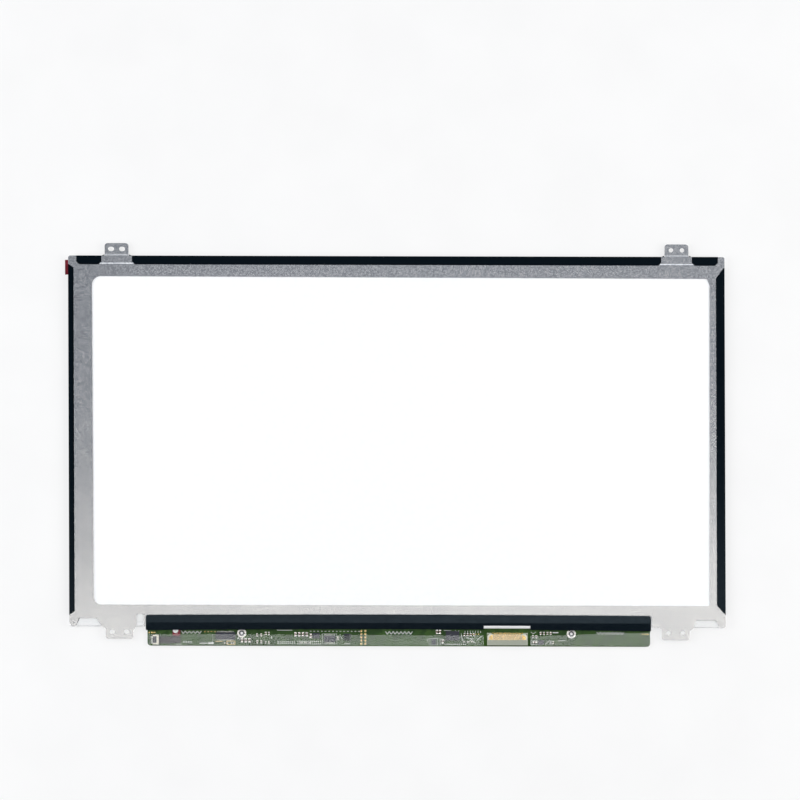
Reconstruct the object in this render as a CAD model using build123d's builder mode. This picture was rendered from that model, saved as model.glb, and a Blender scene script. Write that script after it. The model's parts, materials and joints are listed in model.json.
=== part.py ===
"""A slim 15.6 inch laptop screen panel, lying on its screen with its back upwards.

X runs to the right as seen from behind, Y towards the top edge and Z from the screen to the back.
The origin is on the panel's centre line, on the front of the screen's protective film.
All sizes are in millimetres.
"""

import os

from build123d import *

os.makedirs("parts", exist_ok=True)

# Outline of the whole module, with its ears and its board
module_width = 359.5
module_height = 223.8
half_width = module_width / 2
module_top = 112.2
module_bottom = module_top - module_height

# Thicknesses of the stack, from the screen to the back
film_thickness = 0.08
front_polarizer_thickness = 0.16
glass_thickness = 0.4
rear_polarizer_thickness = 0.14
rim_tape_thickness = 0.08
ledge_thickness = 0.18
prism_thickness = 0.15
diffuser_thickness = 0.12
guide_thickness = 0.85
reflector_thickness = 0.23
metal = 0.4
tape = 0.1

# Heights at which the layers meet
film_back = film_thickness
glass_front = film_back + front_polarizer_thickness
glass_middle = glass_front + glass_thickness
glass_back = glass_middle + glass_thickness
ledge_front = glass_back + rim_tape_thickness
ledge_back = ledge_front + ledge_thickness
prism_middle = ledge_back + prism_thickness
prism_back = prism_middle + prism_thickness
guide_front = prism_back + diffuser_thickness
guide_back = guide_front + guide_thickness
plate_low = guide_back + reflector_thickness
plate_high = plate_low + metal

# Moulded body inside the tapes
body_side = half_width - tape
body_top = 105.05
body_bottom = -100.85
body_corner = 1.0

# Screen area and its layers
active_half_width = 344.23 / 2
active_height = 193.54
active_top = 100.1
active_bottom = active_top - active_height
polarizer_side = active_half_width + 1.3
polarizer_top = active_top + 1.3
polarizer_bottom = active_bottom - 1.3
opening_side = active_half_width + 1.1
opening_top = active_top + 1.1
opening_bottom = active_bottom - 1.2
opening_clearance = 0.2
glass_side = active_half_width + 2.8
glass_top = active_top + 2.8
colour_glass_bottom = active_bottom - 2.6
tft_glass_bottom = colour_glass_bottom - 2.6
film_overhang = 1.4
rim_tape_inset = 0.2
rim_tape_width = 1.2

# Red pull tab of the protective film
pull_tab_reach = 1.6
pull_tab_bottom = 94.9
pull_tab_top = 103.2
pull_tab_slant = 0.5
pull_tab_thickness = 0.05
pull_tab_root = -polarizer_side - 0.2

# Light guide, sheets and the pocket that holds them
pocket_side = 174.6
pocket_top = 102.2
pocket_bottom = -96.95
lamp_pocket_side = 160.8
lamp_pocket_bottom = -98.9
pocket_clearance = 0.2
sheet_side = pocket_side - 2 * pocket_clearance
sheet_top = pocket_top - 2 * pocket_clearance
sheet_bottom = -96.5
guide_side = pocket_side - pocket_clearance
guide_top = pocket_top - pocket_clearance
guide_shoulder = pocket_bottom + 0.05
guide_foot = -97.6
reflector_bottom = lamp_pocket_bottom + 0.1
lamp_side = lamp_pocket_side - pocket_clearance

# Backlight lamps on their flexible strip
lamp_count = 36
lamp_pitch = 8.9
lamp_size = (3.0, 0.85, 0.8)
lamp_gap = 0.05
lamp_window = (2.2, 0.15, 0.45)
lamp_strip_thickness = 0.15
lamp_strip_top = -96.6
lamp_strip_bottom = lamp_pocket_bottom + 0.05
lamp_strip_front = guide_front - lamp_strip_thickness
lamp_floor_edge = lamp_strip_top + 0.05
lamp_tail_left = -123.3
lamp_tail_right = -118.9
lamp_tail_top = -106.7
lamp_tail_bottom = -110.3
lamp_tail_end = -132.2

# Metal back frame
frame_left = -176.75
frame_right = 174.9
frame_top = 100.15
frame_bottom = -101.3
window_left = (-166.35, -166.75)
window_right = (171.0, 171.5)
window_top = (93.6, 92.85)
window_bottom = -89.25
window_left_radius = (4.0, 4.9)
window_sharp_radius = 0.6
window_bevel = (1.4, 3.8)
board_gap_left = -138.35
board_gap_right = 139.2
board_gap_end = -94.7
board_gap_rise = 0.45
corner_radius = 1.2
strip_clearance = 0.02

# Ends of the black side strips, each at the strip's inner edge and at its outer edge
left_strip_low = (-93.05, -95.0)
left_strip_high = (98.4, 100.35)
right_strip_low = (-89.1, -94.3)
right_strip_high = (93.2, 99.5)

# Notches in the frame's lower edge, and the slot beside the left ear
notch_tops = (-96.75, -97.4)
left_notch_foot = (-176.0, -162.1)
left_notch_head = (-174.6, -164.7)
right_notch_foot = (162.3, 176.4)
right_notch_head = (163.4, 174.5)
slot_left = -143.2
slot_right = -139.1
slot_shoulder = -95.6
slot_crown = 1.3
corner_hole = (-177.2, -99.3)
corner_hole_radius = 0.45
corner_slit = [(-174.6, -96.85), (-174.15, -96.85), (-175.1, -99.2), (-175.65, -99.0)]
corner_slit_depth = 1.2

# Lips folded down round the body at the corners: the side and the stretch of each
lip_depth = 1.7
lip_clearance = 0.05
side_lips = [(-1, 101.4, 103.6), (1, 99.8, 103.6), (-1, -98.8, -95.6), (1, -99.6, -94.4)]
lower_lips = [(-178.4, -176.6), (176.8, 178.2)]

# Ears of the back frame
top_ears = (-153.15, 153.45)
top_ear_width = 13.1
top_ear_radius = 1.7
top_ear_hole_pitch = 6.0
top_ear_hole_y = 108.95
top_ear_hole_radius = 1.2
top_ear_slot = (3.2, 2.5)
band_half = 8.35
band_flare = 1.6
band_low = plate_low - 0.2
band_step = frame_top + 0.35
band_start = band_step + 0.6
tab_low = band_low - 0.7
tab_drop_end = body_top + 1.0
ear_clearance = 0.3
bottom_ear_x = 152.3
bottom_ear_half = 7.6
bottom_ear_end = -108.35
bottom_ear_radius = 1.6
bottom_ear_hole_pitch = 8.0
bottom_ear_hole_y = -104.4
bottom_ear_hole_radius = 1.2
bottom_ear_slot = (2.9, 2.4)
ear_crease = (0.35, 0.12)

# Sloping roots of the lower ears: the ear, its side, and the slope's width and drop
ear_roots = [(-1, -1, 2.25, 1.0), (-1, 1, 1.55, 2.2), (1, -1, 1.1, 1.1), (1, 1, 2.45, 2.0)]

# Black edge tapes: how far each flap reaches onto the back and onto the screen side
top_flap = body_top - frame_top - strip_clearance
left_flap = frame_left + body_side - strip_clearance
right_flap = body_side - frame_right - strip_clearance
glass_flap = 0.9
side_front_flap = body_side - glass_side + glass_flap
top_front_flap = body_top - glass_top + glass_flap
end_strip_outer = (175.3, 176.1)
ear_room = band_half + strip_clearance
top_tape_ends = {
    "left": (-end_strip_outer[0], top_ears[0] - ear_room),
    "centre": (top_ears[0] + ear_room, top_ears[1] - ear_room),
    "right": (top_ears[1] + ear_room, end_strip_outer[1]),
}
top_tape_wings = {"left": (1,), "centre": (-1, 1), "right": (-1,)}
wing_reach = band_half + strip_clearance - top_ear_width / 2 - 0.15
wing_rise = 0.8
wing_top = band_low - 0.05

# Control board at the lower edge
board_left = -136.9
board_right = 138.3
board_top = -101.75
board_bottom = module_bottom
board_front = glass_middle
board_thickness = 0.6
board_back = board_front + board_thickness
board_radius = 2.0
pin_holes_x = (-85.3, 95.2)
pin_hole_y = -104.65
pin_hole_radius = 1.3
pin_radius = 0.75
pin_top = board_back + 0.3
ground_ring_radius = 2.5
copper = 0.06

# Moulded bar and lugs that carry the board
body_board_edge = -101.55
board_bar_half = 140.0
glass_pocket_side = glass_side + 0.4
glass_pocket_top = glass_top + 0.3
glass_pocket_bottom = tft_glass_bottom - 0.3
lug_half = 3.2
lug_end = -107.8
tail_slot_clearance = (0.4, 0.08)

# Black board tape and the clear films below it
board_tape_left = -137.9
board_tape_right = 138.8
board_tape_top = board_gap_end - 0.15
board_tape_crest = board_tape_top + board_gap_rise
board_tape_fold = -99.05
board_tape_end = -103.3
board_tape_end_rise = 0.9
board_tape_radius = 1.2
film_start = body_board_edge - 0.1
film_folds = {"left": (-105.4, -105.8), "right": (-106.1, -104.0)}
lowest_fold = -106.2
film_end = board_bottom + 0.1
film_flat = 2.32
clear_film = 0.06
socket_gap_left = 47.2
socket_gap_right = 72.7
socket_gap_top = -100.5
cover_slope = (plate_low - film_flat) / (board_tape_fold - lowest_fold)

# Driver films between the glass and the board
driver_film_x = {"left": -112.9, "centre": 0.7, "right": 116.5}
driver_film = 0.08
driver_film_top = -96.4
driver_film_bottom = -103.4
driver_film_glass_half = 14.0
driver_film_board_half = 9.0
driver_chip_size = (22.0, 1.2, 0.36)
driver_chip_y = -100.1

# Signal socket
socket_x = 60.15
socket_half = 10.8
socket_back = -105.1
socket_mouth = -111.1
socket_floor = 0.5
socket_height = 1.0
socket_tower = 2.8
socket_bevel = 0.8
shell = 0.15
shell_half = socket_half + 0.3
shell_back = -108.35
shell_foot = 2.4
shell_foot_back = socket_back + 0.9
contact_count = 30
contact_pitch = 0.5
contact_width = 0.24
contact_thickness = 0.12
contact_reach = socket_mouth + 0.6
contact_foot = socket_back + 0.5
base_top = board_back + socket_floor
tower_top = board_back + socket_height

# Socket for the lamp strip's tail
lamp_socket_left = -134.1
lamp_socket_right = -130.8
lamp_socket_bottom = -111.1
lamp_socket_top = -105.85
lamp_socket_height = film_flat - clear_film - board_back
lamp_socket_wall = 0.75
lamp_socket_recess_end = -132.0
lamp_socket_recess = 0.4
lamp_latch_gap = 0.05
lamp_latch_drop = 0.12
lamp_pin_count = 7
lamp_pin_pitch = 0.6
lamp_pin_size = (1.0, 0.25, 0.2)

# Moulded chips on the board: middle, width, depth and height
board_chips = {
    "gamma_chip": (-94.3, -106.2, 10.8, 4.0, 0.8),
    "level_shift_chip": (-44.6, -106.0, 4.0, 2.9, 0.75),
    "backlight_driver_chip": (-37.2, -107.7, 6.4, 3.6, 0.8),
    "power_inductor": (-27.6, -106.8, 3.9, 3.6, lamp_socket_height),
    "memory_chip": (19.8, -109.2, 2.5, 3.2, 0.6),
    "timing_controller_chip": (30.1, -105.9, 7.3, 5.1, 0.85),
    "regulator_chip": (78.6, -109.4, 3.2, 2.4, 0.7),
}
chip_bevel = 0.12

# Leads along both long sides of the wide chips: how many and their pitch
chip_lead_rows = {"gamma_chip": (14, 0.65), "backlight_driver_chip": (9, 0.65)}
chip_lead_size = (0.25, 0.7, 0.2)

# Small chip parts: first middle, how many, pitch, size, and whether they stand across the board
chip_sizes = {"large": (2.3, 1.15, 0.8), "medium": (1.6, 0.8, 0.5), "small": (1.05, 0.55, 0.4)}
chip_end_share = 0.3
chip_rows = [
    (-94.7, -110.2, 2, 1.6, "small", True),
    (-90.9, -110.2, 2, 1.1, "small", True),
    (-85.2, -108.7, 3, 2.05, "large", True),
    (-76.9, -105.7, 2, 2.3, "medium", True),
    (-76.9, -109.5, 2, 2.3, "medium", True),
    (-72.2, -104.8, 2, 1.75, "medium", True),
    (-72.2, -109.8, 2, 1.75, "small", True),
    (-55.9, -105.3, 4, 2.07, "large", True),
    (-52.6, -109.8, 3, 2.2, "small", False),
    (-47.5, -106.1, 1, 1.0, "large", True),
    (-32.6, -107.3, 1, 1.0, "medium", True),
    (21.6, -103.8, 2, 1.6, "large", True),
    (24.8, -109.1, 1, 1.0, "large", True),
    (36.6, -105.2, 4, 1.8, "medium", True),
    (36.4, -109.2, 3, 2.3, "small", False),
    (74.2, -106.3, 2, 1.85, "medium", True),
    (75.2, -109.4, 1, 1.0, "large", False),
    (78.4, -104.4, 4, 1.84, "medium", True),
    (85.3, -109.6, 1, 1.0, "medium", True),
]

# Round test pads: first middle, columns, rows, pitches and radius
pad_sides = 12
pad_groups = [
    (-135.9, -104.4, 3, 1, 1.4, 1.0, 0.45),
    (-105.5, -103.9, 4, 1, 1.85, 1.0, 0.3),
    (-19.8, -110.4, 2, 5, 2.2, 1.78, 0.55),
    (134.2, -104.7, 3, 1, 1.4, 1.0, 0.4),
]


def area(left, right, bottom, top, mode=Mode.ADD):
    """A rectangle by its four sides, in the sketch being drawn."""
    with Locations(((left + right) / 2, (bottom + top) / 2)):
        Rectangle(abs(right - left), abs(top - bottom), mode=mode)


def outline(*points, mode=Mode.ADD):
    """A polygon through these points where they stand, in the sketch being drawn."""
    Polygon(*points, align=None, mode=mode)


def crest(left, right, y, rise):
    """A shallow arch between two points of the same height, in the line being drawn."""
    return ThreePointArc((left, y), ((left + right) / 2, y + rise), (right, y))


def cover_height(y):
    """Height of the underside of the board tape and its film, below the tape's fold."""
    return plate_low - cover_slope * (board_tape_fold - y)


def write(builder, label):
    """Names a finished piece and writes its file."""
    builder.part.label = label
    export_step(builder.part, f"parts/{label}.step")


def flat_layer(label, left, right, bottom, top, low, high):
    """A flat rectangular layer of the screen or the backlight."""
    with BuildPart() as layer:
        with BuildSketch(Plane.XY.offset(low)):
            area(left, right, bottom, top)
        extrude(amount=high - low)
    write(layer, label)


# Screen: protective film, polarizers and the two glasses
flat_layer(
    "protective_film", -polarizer_side - film_overhang, polarizer_side,
    polarizer_bottom, polarizer_top, 0, film_back,
)
flat_layer(
    "front_polarizer", -polarizer_side, polarizer_side,
    polarizer_bottom, polarizer_top, film_back, glass_front,
)
flat_layer(
    "colour_filter_glass", -glass_side, glass_side,
    colour_glass_bottom, glass_top, glass_front, glass_middle,
)
flat_layer("tft_glass", -glass_side, glass_side, tft_glass_bottom, glass_top, glass_middle, glass_back)
flat_layer(
    "rear_polarizer", -opening_side + opening_clearance, opening_side - opening_clearance,
    opening_bottom + opening_clearance, opening_top - opening_clearance,
    glass_back, glass_back + rear_polarizer_thickness,
)

with BuildPart() as pull_tab:
    with BuildSketch(Plane.XY.offset(film_back)):
        outline(
            (pull_tab_root, pull_tab_top),
            (-half_width - pull_tab_reach, pull_tab_top),
            (-half_width - pull_tab_reach, pull_tab_bottom),
            (pull_tab_root, pull_tab_bottom + pull_tab_slant),
        )
    extrude(amount=pull_tab_thickness)
write(pull_tab, "film_pull_tab")

with BuildPart() as rim_tape:
    with BuildSketch(Plane.XY.offset(glass_back)):
        area(
            -glass_side + rim_tape_inset, glass_side - rim_tape_inset,
            opening_bottom - rim_tape_width, glass_top - rim_tape_inset,
        )
        area(-opening_side, opening_side, opening_bottom, opening_top, mode=Mode.SUBTRACT)
    extrude(amount=rim_tape_thickness)
write(rim_tape, "rim_tape")

# Backlight: prism sheets, diffuser, light guide and reflector
for label, low, high in (
    ("upper_prism_sheet", ledge_back, prism_middle),
    ("lower_prism_sheet", prism_middle, prism_back),
    ("diffuser_sheet", prism_back, guide_front),
):
    flat_layer(label, -sheet_side, sheet_side, sheet_bottom, sheet_top, low, high)

with BuildPart() as light_guide:
    with BuildSketch(Plane.XY.offset(guide_front)):
        area(-guide_side, guide_side, guide_shoulder, guide_top)
        area(-lamp_side, lamp_side, guide_foot, guide_shoulder)
    extrude(amount=guide_thickness)
write(light_guide, "light_guide_plate")

with BuildPart() as reflector:
    with BuildSketch(Plane.XY.offset(guide_back)):
        area(-guide_side, guide_side, guide_shoulder, guide_top)
        area(-lamp_side, lamp_side, reflector_bottom, guide_shoulder)
        # Room below the stepped bands of the top ears
        for middle in top_ears:
            reach = band_half + band_flare + ear_clearance
            area(middle - reach, middle + reach, frame_top - ear_clearance, guide_top, mode=Mode.SUBTRACT)
    extrude(amount=reflector_thickness)
write(reflector, "reflector_sheet")

# Lamp strip with its tail to the board, and the lamps standing on it
with BuildPart() as lamp_strip:
    with BuildSketch(Plane.XY.offset(lamp_strip_front)):
        area(-lamp_side, lamp_side, lamp_strip_bottom, lamp_strip_top)
        area(lamp_tail_left, lamp_tail_right, lamp_tail_bottom, lamp_strip_bottom)
        area(lamp_tail_end, lamp_tail_right, lamp_tail_bottom, lamp_tail_top)
    extrude(amount=lamp_strip_thickness)
write(lamp_strip, "lamp_strip_circuit")

with BuildPart() as lamps:
    lamp_face = guide_foot - lamp_gap
    with Locations((0, lamp_face, guide_front)):
        with GridLocations(lamp_pitch, 1, lamp_count, 1):
            Box(*lamp_size, align=(Align.CENTER, Align.MAX, Align.MIN))
    with Locations((0, lamp_face, guide_front + lamp_size[2] / 2)):
        with GridLocations(lamp_pitch, 1, lamp_count, 1):
            Box(*lamp_window, align=(Align.CENTER, Align.MAX, Align.CENTER), mode=Mode.SUBTRACT)
write(lamps, "backlight_lamps")

# Moulded support frame
with BuildPart() as support_frame:
    with BuildSketch(Plane.XY.offset(glass_front)) as body_outline:
        area(-body_side, body_side, body_bottom, body_top)
        fillet(body_outline.vertices(), body_corner)
    extrude(amount=plate_low - glass_front)
    # Bar behind the board's upper edge, with the sloping back that the board tape follows
    with BuildSketch(Plane.YZ.offset(board_tape_left)):
        area(body_board_edge, body_bottom, ledge_front, plate_low)
    extrude(amount=board_tape_right - board_tape_left)
    with BuildSketch(Plane.YZ.offset(board_tape_left)):
        outline(
            (board_tape_fold, plate_low),
            (body_board_edge, plate_low),
            (body_board_edge, cover_height(body_board_edge)),
        )
    extrude(amount=board_tape_right - board_tape_left, mode=Mode.SUBTRACT)
    # Pocket for the glass, open below where the driver films leave it
    with BuildSketch(Plane.XY.offset(glass_front)):
        area(-glass_pocket_side, glass_pocket_side, glass_pocket_bottom, glass_pocket_top)
        area(-board_bar_half, board_bar_half, body_board_edge, glass_pocket_bottom)
    extrude(amount=ledge_front - glass_front, mode=Mode.SUBTRACT)
    # Opening for the picture
    with BuildSketch(Plane.XY.offset(ledge_front)):
        area(-opening_side, opening_side, opening_bottom, opening_top)
    extrude(amount=ledge_thickness, mode=Mode.SUBTRACT)
    # Pocket for the sheets and the light guide
    with BuildSketch(Plane.XY.offset(ledge_back)):
        area(-pocket_side, pocket_side, lamp_floor_edge, pocket_top)
        area(-pocket_side, -lamp_pocket_side, pocket_bottom, lamp_floor_edge)
        area(lamp_pocket_side, pocket_side, pocket_bottom, lamp_floor_edge)
    extrude(amount=plate_low - ledge_back, mode=Mode.SUBTRACT)
    # Floor for the lamps, and the slot that lets their tail out
    with BuildSketch(Plane.XY.offset(lamp_strip_front)):
        area(-lamp_pocket_side, lamp_pocket_side, lamp_pocket_bottom, lamp_floor_edge)
    extrude(amount=plate_low - lamp_strip_front, mode=Mode.SUBTRACT)
    side_room, height_room = tail_slot_clearance
    with BuildSketch(Plane.XY.offset(lamp_strip_front - height_room)):
        area(
            lamp_tail_left - side_room, lamp_tail_right + side_room,
            body_board_edge, lamp_pocket_bottom,
        )
    extrude(amount=lamp_strip_thickness + 2 * height_room, mode=Mode.SUBTRACT)
    # Seats for the bands of the top ears
    for middle in top_ears:
        band_reach = band_half + ear_clearance
        with BuildSketch(Plane.XY.offset(band_low)):
            area(middle - band_reach, middle + band_reach, pocket_top, body_top)
        extrude(amount=plate_low - band_low, mode=Mode.SUBTRACT)
    # Relief slit beside the lower left notch of the metal frame
    with BuildSketch(Plane.XY.offset(plate_low)):
        outline(*corner_slit)
    extrude(amount=-corner_slit_depth, mode=Mode.SUBTRACT)
    # Recesses for the metal lips at the corners
    with BuildSketch(Plane.XY.offset(plate_high - lip_depth - lip_clearance)):
        for side, low, high in side_lips:
            area(
                side * (half_width - metal - lip_clearance), side * body_side,
                low - lip_clearance, high + lip_clearance,
            )
    extrude(amount=lip_depth, mode=Mode.SUBTRACT)
    # Lugs that carry the board, each with a locating pin
    for hole_x in pin_holes_x:
        with BuildSketch(Plane.XY.offset(glass_front)):
            area(hole_x - lug_half, hole_x + lug_half, lug_end, glass_pocket_bottom)
        extrude(amount=board_front - glass_front)
        with BuildSketch(Plane.XY.offset(board_front)):
            area(hole_x - lug_half, hole_x + lug_half, body_board_edge, glass_pocket_bottom)
        extrude(amount=ledge_front - board_front)
        with BuildSketch(Plane.XY.offset(board_front)):
            with Locations((hole_x, pin_hole_y)):
                Circle(pin_radius)
        extrude(amount=pin_top - board_front)
write(support_frame, "support_frame")


# Black edge tapes
def edge_tape(label, plane, length, flaps, cuts, wings=()):
    """A tape folded round one edge of the body.

    The plane lies at the body's edge, halfway along the tape, with X along it and Y outwards.
    The flaps are the widths on the back and on the screen side.
    Each cut takes a corner off the back flap: the end, and the cut's length and width.
    A wing is an end that runs on beside an ear, where the tape stands off the edge.
    """
    back_flap, front_flap = flaps
    section = Plane(origin=plane.origin, x_dir=plane.y_dir, z_dir=plane.x_dir)
    with BuildPart() as strip:
        with BuildSketch(section.offset(-length / 2)):
            area(-back_flap, tape, plate_low, plate_low + tape)
            area(0, tape, glass_front - tape, plate_low)
            area(-front_flap, tape, glass_front - tape, glass_front)
        extrude(amount=length)
        with BuildSketch(plane.offset(plate_low - metal)):
            for end, along, across in cuts:
                tip = end * length / 2
                outline((tip, -back_flap), (tip - end * along, -back_flap), (tip, -back_flap + across))
        extrude(amount=2 * metal, mode=Mode.SUBTRACT)
        for end in wings:
            tip = end * length / 2
            wing = tip + end * wing_reach
            with BuildSketch(plane.offset(glass_front - tape)):
                area(tip, wing, 0, tape)
            extrude(amount=wing_top - glass_front + tape)
            with BuildSketch(plane.offset(wing_top - tape)):
                outline((tip, 0), (tip, tape), (wing, wing_rise), (wing, 0))
            extrude(amount=tape)
    write(strip, label)


def edge_plane(x, y, along):
    """A level plane at the body's edge, with X along the edge."""
    return Plane(origin=(x, y, 0), x_dir=along, z_dir=(0, 0, 1))


flare_cuts = [(-1, band_flare, band_flare), (1, band_flare, band_flare)]
top_flaps = (top_flap, top_front_flap)

for side, (left, right) in top_tape_ends.items():
    edge_tape(
        f"top_tape_{side}", edge_plane((left + right) / 2, body_top, (1, 0, 0)), right - left,
        top_flaps, flare_cuts, top_tape_wings[side],
    )

edge_tape(
    "left_tape",
    edge_plane(-body_side, (left_strip_low[1] + left_strip_high[1]) / 2, (0, 1, 0)),
    left_strip_high[1] - left_strip_low[1],
    (left_flap, side_front_flap),
    [
        (-1, left_strip_low[0] - left_strip_low[1], left_flap),
        (1, left_strip_high[1] - left_strip_high[0], left_flap),
    ],
)
edge_tape(
    "right_tape",
    edge_plane(body_side, (right_strip_low[1] + right_strip_high[1]) / 2, (0, -1, 0)),
    right_strip_high[1] - right_strip_low[1],
    (right_flap, side_front_flap),
    [
        (-1, right_strip_high[1] - right_strip_high[0], right_flap),
        (1, right_strip_low[0] - right_strip_low[1], right_flap),
    ],
)


# Metal back frame with its four ears
def top_ear(middle, slotted):
    """A band that steps down over the body's edge, then drops to a tab with two holes."""
    with BuildPart() as ear:
        with BuildSketch(Plane.YZ.offset(middle - band_half - band_flare)):
            with BuildLine():
                Polyline(
                    (frame_top - metal, plate_low),
                    (band_step, plate_low),
                    (band_start, band_low),
                    (body_top, band_low),
                    (tab_drop_end, tab_low),
                    (module_top, tab_low),
                )
                offset(amount=metal, side=Side.LEFT, kind=Kind.INTERSECTION)
            make_face()
        extrude(amount=2 * (band_half + band_flare))
        with BuildSketch(Plane.XY) as shape:
            area(middle - band_half, middle + band_half, frame_top - metal, body_top)
            area(middle - top_ear_width / 2, middle + top_ear_width / 2, body_top, module_top)
            fillet(shape.vertices().group_by(Axis.Y)[-1], top_ear_radius)
            for side in (-1, 1):
                root = middle + side * band_half
                outline(
                    (root, frame_top + band_flare),
                    (root, frame_top - metal),
                    (root + side * band_flare, frame_top - metal),
                    (root + side * band_flare, frame_top),
                )
            with Locations((middle, top_ear_hole_y)):
                with GridLocations(top_ear_hole_pitch, 1, 2, 1):
                    if slotted:
                        SlotOverall(*top_ear_slot, mode=Mode.SUBTRACT)
                    else:
                        Circle(top_ear_hole_radius, mode=Mode.SUBTRACT)
        extrude(amount=plate_high + metal, mode=Mode.INTERSECT)
    return ear.part


left_top_ear = top_ear(top_ears[0], True)
right_top_ear = top_ear(top_ears[1], False)
left_tab = -end_strip_outer[0] - strip_clearance
right_tab = end_strip_outer[1] + strip_clearance

with BuildPart() as rear_frame:
    with BuildSketch(Plane.XY.offset(plate_low)) as plate:
        area(frame_left, frame_right, board_gap_end, frame_top)
        # Corner tabs that reach the body's edges
        outline(
            (frame_left, left_strip_high[0]), (-body_side, left_strip_high[1]),
            (-half_width, left_strip_high[1]), (-half_width, body_top),
            (left_tab, body_top), (left_tab, frame_top + band_flare), (left_tab + band_flare, frame_top),
        )
        outline(
            (frame_right, right_strip_high[0]), (body_side, right_strip_high[1]),
            (half_width, right_strip_high[1]), (half_width, body_top),
            (right_tab, body_top), (right_tab, frame_top + band_flare), (right_tab - band_flare, frame_top),
        )
        outline(
            (frame_left, left_strip_low[0]), (-body_side, left_strip_low[1]),
            (-half_width, left_strip_low[1]), (-half_width, frame_bottom),
            (board_gap_left, frame_bottom), (board_gap_left, board_gap_end),
        )
        outline(
            (frame_right, right_strip_low[0]), (body_side, right_strip_low[1]),
            (half_width, right_strip_low[1]), (half_width, frame_bottom),
            (board_gap_right, frame_bottom), (board_gap_right, board_gap_end),
        )
        fillet(plate.vertices().group_by(Axis.X)[0].sort_by(Axis.Y)[0], 2 * corner_radius)
        fillet(plate.vertices().group_by(Axis.X)[0].sort_by(Axis.Y)[-1], corner_radius)
        fillet(plate.vertices().group_by(Axis.X)[-1].sort_by(Axis.Y)[0], corner_radius)
        fillet(plate.vertices().group_by(Axis.X)[-1].sort_by(Axis.Y)[-1], corner_radius)
        # Arched gap for the board tape
        with BuildLine():
            arch = crest(board_gap_left, board_gap_right, board_gap_end, board_gap_rise)
            Line(arch @ 1, arch @ 0)
        make_face(mode=Mode.SUBTRACT)
        # Notches along the lower edge, the slot beside the left ear, and the small corner hole
        for foot, head, top in (
            (left_notch_foot, left_notch_head, notch_tops[0]),
            (right_notch_foot, right_notch_head, notch_tops[1]),
        ):
            outline(
                (foot[0], frame_bottom), (head[0], top), (head[1], top), (foot[1], frame_bottom),
                mode=Mode.SUBTRACT,
            )
        area(slot_left, slot_right, frame_bottom, slot_shoulder, mode=Mode.SUBTRACT)
        with Locations(((slot_left + slot_right) / 2, slot_shoulder)):
            Ellipse((slot_right - slot_left) / 2, slot_crown, mode=Mode.SUBTRACT)
        with Locations(corner_hole):
            Circle(corner_hole_radius, mode=Mode.SUBTRACT)
        # Lower ears with their sloping roots
        for middle in (-bottom_ear_x, bottom_ear_x):
            area(middle - bottom_ear_half, middle + bottom_ear_half, bottom_ear_end, frame_bottom)
        fillet(plate.vertices().group_by(Axis.Y)[0], bottom_ear_radius)
        for ear, side, width, drop in ear_roots:
            root = ear * bottom_ear_x + side * bottom_ear_half
            outline((root, frame_bottom), (root + side * width, frame_bottom), (root, frame_bottom - drop))
        with Locations((-bottom_ear_x, bottom_ear_hole_y)):
            with GridLocations(bottom_ear_hole_pitch, 1, 2, 1):
                SlotOverall(*bottom_ear_slot, mode=Mode.SUBTRACT)
        with Locations((bottom_ear_x, bottom_ear_hole_y)):
            with GridLocations(bottom_ear_hole_pitch, 1, 2, 1):
                Circle(bottom_ear_hole_radius, mode=Mode.SUBTRACT)
    extrude(amount=metal)
    with BuildSketch(Plane.XY.offset(plate_low)) as window:
        outline(
            (window_left[0], window_bottom), (window_right[0], window_bottom),
            (window_right[1], window_top[1]), (window_left[1], window_top[0]),
        )
        fillet(window.vertices().group_by(Axis.Y)[0].sort_by(Axis.X)[0], window_left_radius[0])
        fillet(window.vertices().sort_by(Axis.Y)[-1], window_left_radius[1])
        fillet(window.vertices().group_by(Axis.Y)[0].sort_by(Axis.X)[-1], window_sharp_radius)
        outline(
            (window_right[1], window_top[1]),
            (window_right[1] - window_bevel[0], window_top[1]),
            (window_right[1], window_top[1] - window_bevel[1]),
            mode=Mode.SUBTRACT,
        )
    extrude(amount=metal, mode=Mode.SUBTRACT)
    # Pressed crease across the root of each lower ear
    crease_width, crease_depth = ear_crease
    with BuildSketch(Plane.XY.offset(plate_high)):
        for middle in (-bottom_ear_x, bottom_ear_x):
            area(
                middle - bottom_ear_half, middle + bottom_ear_half,
                frame_bottom - crease_width, frame_bottom,
            )
    extrude(amount=-crease_depth, mode=Mode.SUBTRACT)
    with BuildSketch(Plane.XY.offset(plate_high - lip_depth)):
        for side, low, high in side_lips:
            area(side * (half_width - metal), side * half_width, low, high)
        for left, right in lower_lips:
            area(left, right, frame_bottom, frame_bottom + metal)
    extrude(amount=lip_depth)
    add(left_top_ear)
    add(right_top_ear)
write(rear_frame, "rear_frame")

# Driver films with their chips
for side, middle in driver_film_x.items():
    with BuildPart() as film:
        with BuildSketch(Plane.XY.offset(board_front - driver_film)):
            area(
                middle - driver_film_glass_half, middle + driver_film_glass_half,
                tft_glass_bottom, driver_film_top,
            )
            outline(
                (middle - driver_film_glass_half, tft_glass_bottom),
                (middle - driver_film_board_half, board_top),
                (middle + driver_film_board_half, board_top),
                (middle + driver_film_glass_half, tft_glass_bottom),
            )
            area(
                middle - driver_film_board_half, middle + driver_film_board_half,
                driver_film_bottom, board_top,
            )
        extrude(amount=driver_film)
    write(film, f"driver_film_{side}")

with BuildPart() as driver_chips:
    with Locations(*[(middle, driver_chip_y, board_front) for middle in driver_film_x.values()]):
        Box(*driver_chip_size, align=(Align.CENTER, Align.CENTER, Align.MIN))
write(driver_chips, "driver_chips")

# Control board with two locating holes, the plated rings round them and the test pads
pin_places = [(hole_x, pin_hole_y) for hole_x in pin_holes_x]

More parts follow.
